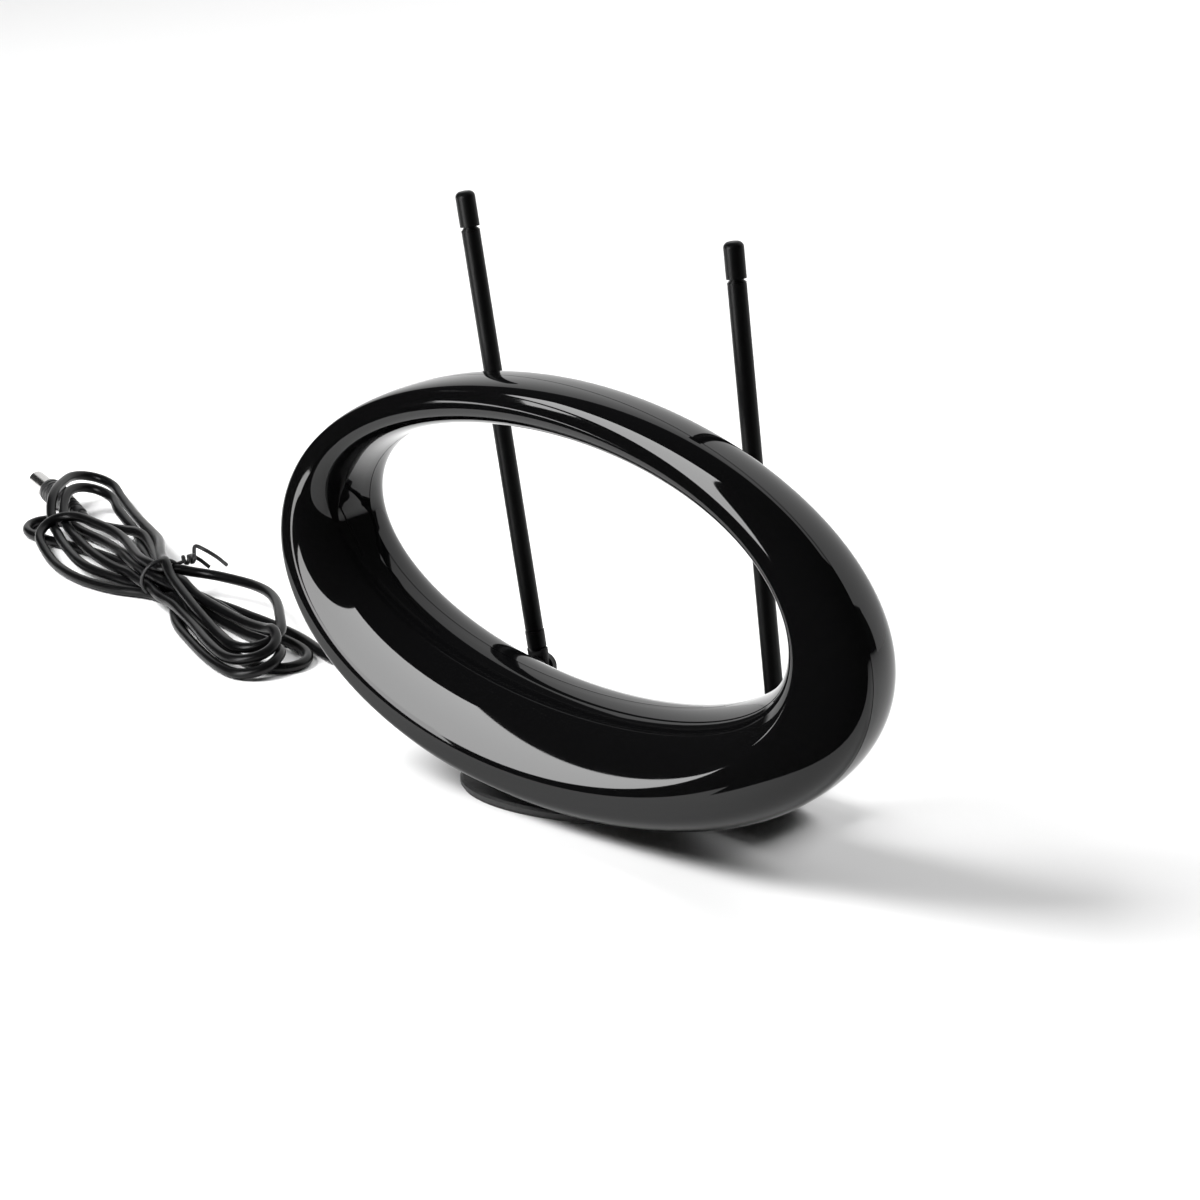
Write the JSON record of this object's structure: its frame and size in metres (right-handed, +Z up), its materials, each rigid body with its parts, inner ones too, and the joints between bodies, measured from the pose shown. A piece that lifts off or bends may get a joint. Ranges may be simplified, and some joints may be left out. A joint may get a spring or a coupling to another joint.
{
  "type": "indoor television antenna",
  "caption": "Indoor television antenna with an oval gloss ring on a swivelling foot, telescopic ears behind it, and a coaxial lead tied in a hank.",
  "frame": {"origin": "Middle of the foot mat's underside, on the swivel axis, at the level the antenna stands on", "axes": "+X along the ring's width, to the viewer's right from the front; +Y from the ring towards the ears and the back; +Z up"},
  "size_m": [0.6416, 0.1694, 0.2419],
  "materials": {
    "ring_gloss": "high gloss",
    "ring_rear": "high gloss",
    "loop_strip": "mill",
    "nylon": "natural",
    "zinc_steel": "zinc plated",
    "dark_screw": "black zinc",
    "housing_plastic": "fine texture",
    "board_green": "solder mask",
    "ferrite": "sintered",
    "copper": "enamelled copper",
    "component_body": "ceramic",
    "clamp_tin": "tinned",
    "lead_wire": "insulated wire",
    "foot_plastic": "satin",
    "weight_steel": "plain",
    "mat_rubber": "matt",
    "turret_plastic": "satin",
    "ear_black": "satin black",
    "lead_jacket": "satin flexible plastic",
    "tie_plastic": "plastic coated wire",
    "plug_nickel": "nickel plated",
    "insulator_white": "moulded",
    "pin_brass": "plated"
  },
  "bodies": {
    "head": {"front_shell": "ring_gloss", "rear_shell": "ring_rear", "loop_element": "loop_strip", "loop_spacers": "nylon", "clamp_plate": "zinc_steel", "ring_screws": "zinc_steel", "housing": "housing_plastic", "housing_cover": "housing_plastic", "cover_screws": "dark_screw", "circuit_board": "board_green", "board_screws": "zinc_steel", "balun_core": "ferrite", "balun_windings": "copper", "board_components": "component_body", "coax_clamp": "clamp_tin", "lead_core": "copper", "loop_leads": "lead_wire", "ear_leads": "lead_wire", "strain_relief": "lead_jacket", "inner_lead": "lead_jacket", "lead_run": "lead_jacket", "lead_hank": "lead_jacket", "twist_tie": "tie_plastic", "plug_grip": "lead_jacket", "plug_barrel": "plug_nickel", "plug_insulator": "insulator_white", "plug_pin": "pin_brass"},
    "foot": {"foot_shell": "foot_plastic", "foot_weight": "weight_steel", "foot_mat": "mat_rubber", "pivot_bolt": "zinc_steel", "pivot_nut": "zinc_steel"},
    "left_swivel": {"left_turret": "turret_plastic", "left_turret_screw": "zinc_steel", "left_turret_washer": "zinc_steel", "left_hinge_pin": "zinc_steel"},
    "left_arm": {"left_knuckle": "ear_black", "left_sleeve": "ear_black"},
    "left_middle": {"left_section_2": "ear_black"},
    "left_upper": {"left_section_3": "ear_black"},
    "left_tip": {"left_tip_rod": "ear_black", "left_tip_cap": "ear_black"},
    "right_swivel": {"right_turret": "turret_plastic", "right_turret_screw": "zinc_steel", "right_turret_washer": "zinc_steel", "right_hinge_pin": "zinc_steel"},
    "right_arm": {"right_knuckle": "ear_black", "right_sleeve": "ear_black"},
    "right_middle": {"right_section_2": "ear_black"},
    "right_upper": {"right_section_3": "ear_black"},
    "right_tip": {"right_tip_rod": "ear_black", "right_tip_cap": "ear_black"}
  },
  "joints": [
    {"name": "foot_swivel", "type": "hinge", "parent": "head", "child": "foot", "pos_m": [0, 0, 0.006], "axis": [0, 0, 1], "range_deg": [-128, 52]},
    {"name": "left_swivel_turn", "type": "hinge", "parent": "head", "child": "left_swivel", "pos_m": [-0.0662, 0.0119, 0.033], "axis": [0, 0, -1], "range_deg": [-45, 90]},
    {"name": "left_tilt", "type": "hinge", "parent": "left_swivel", "child": "left_arm", "pos_m": [-0.0662, 0.0119, 0.033], "axis": [0.0819, -0.9966, 0], "range_deg": [-25.7, 79.3]},
    {"name": "left_slide_1", "type": "slide", "parent": "left_arm", "child": "left_middle", "axis": [-0.185, -0.0152, 0.9826], "range_m": [0, 0.15]},
    {"name": "left_slide_2", "type": "slide", "parent": "left_middle", "child": "left_upper", "axis": [-0.185, -0.0152, 0.9826], "range_m": [0, 0.15]},
    {"name": "left_slide_3", "type": "slide", "parent": "left_upper", "child": "left_tip", "axis": [-0.185, -0.0152, 0.9826], "range_m": [0, 0.15]},
    {"name": "right_swivel_turn", "type": "hinge", "parent": "head", "child": "right_swivel", "pos_m": [0.0662, 0.0119, 0.033], "axis": [0, 0, 1], "range_deg": [-45, 90]},
    {"name": "right_tilt", "type": "hinge", "parent": "right_swivel", "child": "right_arm", "pos_m": [0.0662, 0.0119, 0.033], "axis": [0.1167, 0.9932, 0], "range_deg": [-6.4, 98.6]},
    {"name": "right_slide_1", "type": "slide", "parent": "right_arm", "child": "right_middle", "axis": [-0.1485, 0.0174, 0.9888], "range_m": [0, 0.15]},
    {"name": "right_slide_2", "type": "slide", "parent": "right_middle", "child": "right_upper", "axis": [-0.1485, 0.0174, 0.9888], "range_m": [0, 0.15]},
    {"name": "right_slide_3", "type": "slide", "parent": "right_upper", "child": "right_tip", "axis": [-0.1485, 0.0174, 0.9888], "range_m": [0, 0.15]}
  ]
}
